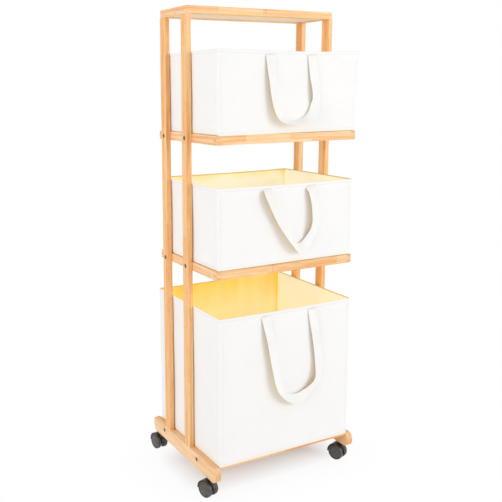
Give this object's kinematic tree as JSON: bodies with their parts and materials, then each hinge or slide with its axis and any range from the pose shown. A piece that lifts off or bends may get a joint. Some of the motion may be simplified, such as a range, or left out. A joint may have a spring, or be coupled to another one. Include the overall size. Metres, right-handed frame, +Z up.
{
  "type": "laundry sorter on wheels",
  "caption": "Tall bamboo laundry sorter on swivel casters, with removable cloth bags on open tiers and a base board, and a webbing handle on the front of each bag.",
  "frame": {"origin": "on the floor, under the middle of the object", "axes": "+Z up, +X to the right as seen from the front, +Y from the front to the back"},
  "size_m": [0.5039, 0.4037, 1.334],
  "materials": {
    "bamboo": "laminated bamboo strips, eased and clear lacquered, satin",
    "panel": "thin hardboard, white lacquered, matt",
    "caster_hood": "moulded nylon, black, satin",
    "caster_wheel": "moulded nylon, black-grey, satin",
    "steel_pin": "zinc plated",
    "sleeve": "moulded nylon",
    "bolt": "steel, dark bronze",
    "nut": "turned",
    "webbing": "flat woven webbing",
    "bag_cloth": "coated cloth, off-white outside, yellow lining",
    "bag_board": "grey board covered with the lining cloth"
  },
  "bodies": {
    "frame": {"base_board": "bamboo", "base_cross_rail_back": "bamboo", "base_cross_rail_front": "bamboo", "caster_sleeves": "sleeve", "caster_stems": "steel_pin", "foot_barrel_nuts": "nut", "foot_bolts": "bolt", "foot_left": "bamboo", "foot_right": "bamboo", "lower_tier_back_rail": "bamboo", "lower_tier_front_rail": "bamboo", "lower_tier_left_rail": "bamboo", "lower_tier_panel": "panel", "lower_tier_right_rail": "bamboo", "post_back_left": "bamboo", "post_back_right": "bamboo", "post_dowels": "bamboo", "post_front_left": "bamboo", "post_front_right": "bamboo", "tier_bolts": "bolt", "tier_insert_nuts": "nut", "top_back_rail": "bamboo", "top_front_rail": "bamboo", "top_left_rail": "bamboo", "top_panel": "panel", "top_right_rail": "bamboo", "upper_tier_back_rail": "bamboo", "upper_tier_front_rail": "bamboo", "upper_tier_left_rail": "bamboo", "upper_tier_panel": "panel", "upper_tier_right_rail": "bamboo"},
    "front_left_fork": {"caster_front_left_hood": "caster_hood", "caster_front_left_axle": "steel_pin"},
    "front_left_left_wheel": {"caster_front_left_left_wheel": "caster_wheel"},
    "front_left_right_wheel": {"caster_front_left_right_wheel": "caster_wheel"},
    "front_right_fork": {"caster_front_right_hood": "caster_hood", "caster_front_right_axle": "steel_pin"},
    "front_right_left_wheel": {"caster_front_right_left_wheel": "caster_wheel"},
    "front_right_right_wheel": {"caster_front_right_right_wheel": "caster_wheel"},
    "back_left_fork": {"caster_back_left_hood": "caster_hood", "caster_back_left_axle": "steel_pin"},
    "back_left_left_wheel": {"caster_back_left_left_wheel": "caster_wheel"},
    "back_left_right_wheel": {"caster_back_left_right_wheel": "caster_wheel"},
    "back_right_fork": {"caster_back_right_hood": "caster_hood", "caster_back_right_axle": "steel_pin"},
    "back_right_left_wheel": {"caster_back_right_left_wheel": "caster_wheel"},
    "back_right_right_wheel": {"caster_back_right_right_wheel": "caster_wheel"},
    "upper_bag_body": {"upper_bag": "bag_cloth", "upper_bag_board": "bag_board"},
    "upper_handle_body": {"upper_bag_handle": "webbing"},
    "middle_bag_body": {"middle_bag": "bag_cloth", "middle_bag_board": "bag_board"},
    "middle_handle_body": {"middle_bag_handle": "webbing"},
    "bottom_bag_body": {"bottom_bag": "bag_cloth", "bottom_bag_board": "bag_board"},
    "bottom_handle_body": {"bottom_bag_handle": "webbing"}
  },
  "joints": [
    {"name": "front_left_swivel", "type": "hinge", "parent": "frame", "child": "front_left_fork", "pos_m": [-0.229, -0.167, 0.056], "axis": [0, 0, 1], "continuous": true},
    {"name": "front_left_left_spin", "type": "hinge", "parent": "front_left_fork", "child": "front_left_left_wheel", "pos_m": [-0.23341, -0.15162, 0.0235], "axis": [0.9613, 0.2756, 0], "continuous": true},
    {"name": "front_left_right_spin", "type": "hinge", "parent": "front_left_fork", "child": "front_left_right_wheel", "pos_m": [-0.23341, -0.15162, 0.0235], "axis": [0.9613, 0.2756, 0], "continuous": true},
    {"name": "front_right_swivel", "type": "hinge", "parent": "frame", "child": "front_right_fork", "pos_m": [0.229, -0.167, 0.056], "axis": [0, 0, 1], "continuous": true},
    {"name": "front_right_left_spin", "type": "hinge", "parent": "front_right_fork", "child": "front_right_left_wheel", "pos_m": [0.22353, -0.15196, 0.0235], "axis": [0.9397, 0.342, 0], "continuous": true},
    {"name": "front_right_right_spin", "type": "hinge", "parent": "front_right_fork", "child": "front_right_right_wheel", "pos_m": [0.22353, -0.15196, 0.0235], "axis": [0.9397, 0.342, 0], "continuous": true},
    {"name": "back_left_swivel", "type": "hinge", "parent": "frame", "child": "back_left_fork", "pos_m": [-0.229, 0.159, 0.056], "axis": [0, 0, 1], "continuous": true},
    {"name": "back_left_left_spin", "type": "hinge", "parent": "back_left_fork", "child": "back_left_left_wheel", "pos_m": [-0.23067, 0.17491, 0.0235], "axis": [0.9945, 0.1045, 0], "continuous": true},
    {"name": "back_left_right_spin", "type": "hinge", "parent": "back_left_fork", "child": "back_left_right_wheel", "pos_m": [-0.23067, 0.17491, 0.0235], "axis": [0.9945, 0.1045, 0], "continuous": true},
    {"name": "back_right_swivel", "type": "hinge", "parent": "frame", "child": "back_right_fork", "pos_m": [0.229, 0.159, 0.056], "axis": [0, 0, 1], "continuous": true},
    {"name": "back_right_left_spin", "type": "hinge", "parent": "back_right_fork", "child": "back_right_left_wheel", "pos_m": [0.21915, 0.17161, 0.0235], "axis": [0.788, 0.6157, 0], "continuous": true},
    {"name": "back_right_right_spin", "type": "hinge", "parent": "back_right_fork", "child": "back_right_right_wheel", "pos_m": [0.21915, 0.17161, 0.0235], "axis": [0.788, 0.6157, 0], "continuous": true},
    {"name": "upper_bag_out", "type": "slide", "parent": "frame", "child": "upper_bag_body", "axis": [0, -1, 0], "range_m": [0, 0.42]},
    {"name": "upper_handle_swing", "type": "hinge", "parent": "upper_bag_body", "child": "upper_handle_body", "pos_m": [0, -0.1842, 1.208], "axis": [-1, 0, 0], "range_deg": [0, 90]},
    {"name": "middle_bag_out", "type": "slide", "parent": "frame", "child": "middle_bag_body", "axis": [0, -1, 0], "range_m": [0, 0.42]},
    {"name": "middle_handle_swing", "type": "hinge", "parent": "middle_bag_body", "child": "middle_handle_body", "pos_m": [0, -0.1832, 0.86], "axis": [-1, 0, 0], "range_deg": [0, 90]},
    {"name": "bottom_bag_out", "type": "slide", "parent": "frame", "child": "bottom_bag_body", "axis": [0, -1, 0], "range_m": [0, 0.42]},
    {"name": "bottom_handle_swing", "type": "hinge", "parent": "bottom_bag_body", "child": "bottom_handle_body", "pos_m": [0, -0.1952, 0.514], "axis": [-1, 0, 0], "range_deg": [0, 90]}
  ]
}
